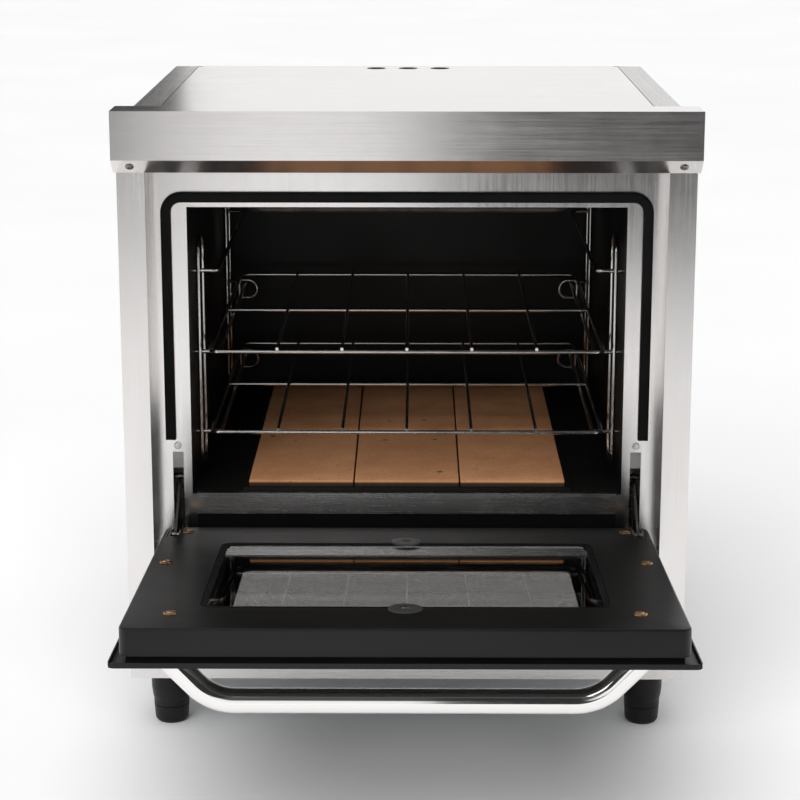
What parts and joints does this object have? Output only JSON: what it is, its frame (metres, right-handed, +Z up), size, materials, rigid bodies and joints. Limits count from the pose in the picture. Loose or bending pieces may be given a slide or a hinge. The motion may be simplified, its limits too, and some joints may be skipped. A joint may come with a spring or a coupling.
{
  "type": "deck oven",
  "caption": "Counter-top electric deck oven with a drop-down glazed door, fire-clay tile deck, sliding wire racks and adjustable feet.",
  "frame": {"origin": "on the surface the oven stands on, at the middle of its outline with the door open", "axes": "+Z up; -Y the front, where the door drops towards the user; +X to the right seen from the front"},
  "size_m": [0.6, 0.9766, 0.676],
  "materials": {
    "brushed_steel": "satin",
    "handle_steel": "satin polished",
    "rear_steel": "galvanised",
    "cavity_enamel": "semi-gloss enamel",
    "black_enamel": "gloss enamel",
    "inner_frame": "matt",
    "gasket": "matt",
    "clear_glass": "clear",
    "rack_chrome": "bright plated",
    "fire_clay": "matt",
    "mineral_wool": "matt",
    "element_alloy": "oxidised",
    "probe_steel": "satin",
    "zinc_steel": "zinc plated",
    "screw_steel": "satin",
    "washer_brass": "satin",
    "black_plastic": "moulded",
    "white_plastic": "moulded"
  },
  "bodies": {
    "oven": {"back_panel": "rear_steel", "back_panel_screws": "screw_steel", "base_panel": "rear_steel", "bottom_element": "element_alloy", "cable_gland": "black_plastic", "cavity_liner": "cavity_enamel", "deck_tiles": "fire_clay", "door_gasket": "gasket", "fascia": "brushed_steel", "fascia_screws": "screw_steel", "foot_bolts": "screw_steel", "foot_sleeves": "black_plastic", "frame_rivets": "screw_steel", "front_frame": "brushed_steel", "hinge_bracket_left": "zinc_steel", "hinge_bracket_right": "zinc_steel", "hinge_pins": "zinc_steel", "hinge_spring_left": "zinc_steel", "hinge_spring_right": "zinc_steel", "insulation_blanket": "mineral_wool", "lower_front_panel": "brushed_steel", "pillar_left": "brushed_steel", "pillar_right": "brushed_steel", "rear_top_cover": "rear_steel", "side_frame_left": "rack_chrome", "side_frame_right": "rack_chrome", "side_panel_left": "brushed_steel", "side_panel_right": "brushed_steel", "sill": "brushed_steel", "terminal_block": "white_plastic", "thermostat_probe": "probe_steel", "tile_tray": "black_enamel", "top_element": "element_alloy", "top_panel": "brushed_steel", "vent_duct": "rear_steel"},
    "door": {"door_skin": "black_enamel", "door_spacer": "inner_frame", "door_pan": "black_enamel", "window_seal": "gasket", "inner_glass": "clear_glass", "outer_glass": "clear_glass", "glass_retainers": "screw_steel", "retainer_screws": "screw_steel", "cup_washers": "washer_brass", "door_screws": "screw_steel", "handle_tube": "handle_steel", "handle_bolts": "screw_steel", "hinge_arm_left": "zinc_steel", "hinge_arm_right": "zinc_steel", "link_pins": "zinc_steel"},
    "hinge_link_left": {"hinge_link_left": "zinc_steel"},
    "hinge_link_right": {"hinge_link_right": "zinc_steel"},
    "rack_upper": {"rack_upper": "rack_chrome"},
    "rack_lower": {"rack_lower": "rack_chrome"},
    "foot_front_left": {"foot_pad_front_left": "black_plastic"},
    "foot_front_right": {"foot_pad_front_right": "black_plastic"},
    "foot_rear_left": {"foot_pad_rear_left": "black_plastic"},
    "foot_rear_right": {"foot_pad_rear_right": "black_plastic"}
  },
  "joints": [
    {"name": "door_hinge", "type": "hinge", "parent": "oven", "child": "door", "pos_m": [0, -0.09198, 0.21], "axis": [-1, 0, 0], "range_deg": [0, 85.5]},
    {"name": "link_left_pivot", "type": "hinge", "parent": "door", "child": "hinge_link_left", "pos_m": [-0.2455, -0.11188, 0.2222], "axis": [-1, 0, 0], "range_deg": [-116, 0]},
    {"name": "link_right_pivot", "type": "hinge", "parent": "door", "child": "hinge_link_right", "pos_m": [0.2455, -0.11188, 0.2222], "axis": [-1, 0, 0], "range_deg": [-116, 0]},
    {"name": "rack_upper_slide", "type": "slide", "parent": "oven", "child": "rack_upper", "axis": [0, 1, 0], "range_m": [-0.358, 0]},
    {"name": "rack_lower_slide", "type": "slide", "parent": "oven", "child": "rack_lower", "axis": [0, 1, 0], "range_m": [-0.358, 0]},
    {"name": "foot_front_left_screw", "type": "slide", "parent": "oven", "child": "foot_front_left", "axis": [0, 0, -1], "range_m": [0, 0.02]},
    {"name": "foot_front_right_screw", "type": "slide", "parent": "oven", "child": "foot_front_right", "axis": [0, 0, -1], "range_m": [0, 0.02]},
    {"name": "foot_rear_left_screw", "type": "slide", "parent": "oven", "child": "foot_rear_left", "axis": [0, 0, -1], "range_m": [0, 0.02]},
    {"name": "foot_rear_right_screw", "type": "slide", "parent": "oven", "child": "foot_rear_right", "axis": [0, 0, -1], "range_m": [0, 0.02]}
  ],
  "couplings": [
    {"joint": "link_left_pivot", "follows": "door_hinge", "ratio": -1.3418},
    {"joint": "link_right_pivot", "follows": "door_hinge", "ratio": -1.3418}
  ]
}
